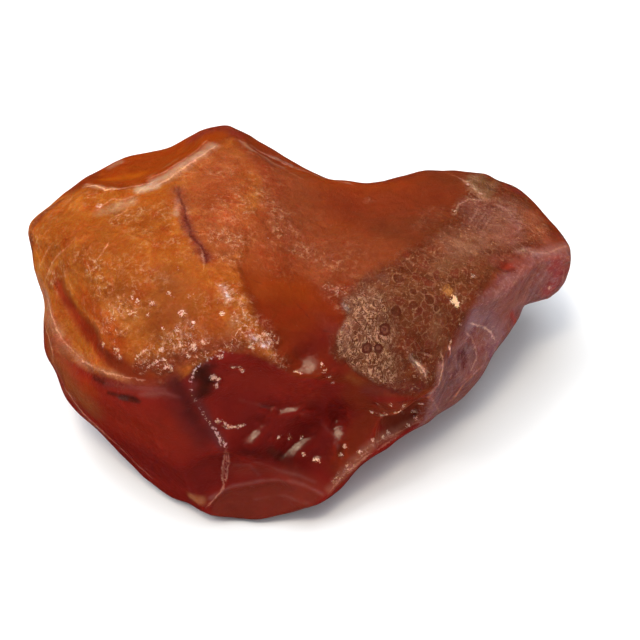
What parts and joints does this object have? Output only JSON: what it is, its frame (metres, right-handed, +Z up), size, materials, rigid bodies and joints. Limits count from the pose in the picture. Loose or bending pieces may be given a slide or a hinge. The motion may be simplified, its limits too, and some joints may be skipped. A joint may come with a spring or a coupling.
{
  "type": "raw carnelian",
  "caption": "Palm-sized rough chunk of translucent orange-red chalcedony, water-worn, with flat and shell-like breaks and a patch of pitted brown crust.",
  "frame": {"origin": "centre of the stone's bounding box, on the surface that it rests on", "axes": "+X along the stone to its narrow tip, +Y to the back, away from the broken front, +Z up"},
  "size_m": [0.0578, 0.0406, 0.0246],
  "materials": {
    "carnelian": "waxy, partly polished by water"
  },
  "bodies": {
    "root": {"carnelian": "carnelian"}
  },
  "joints": []
}
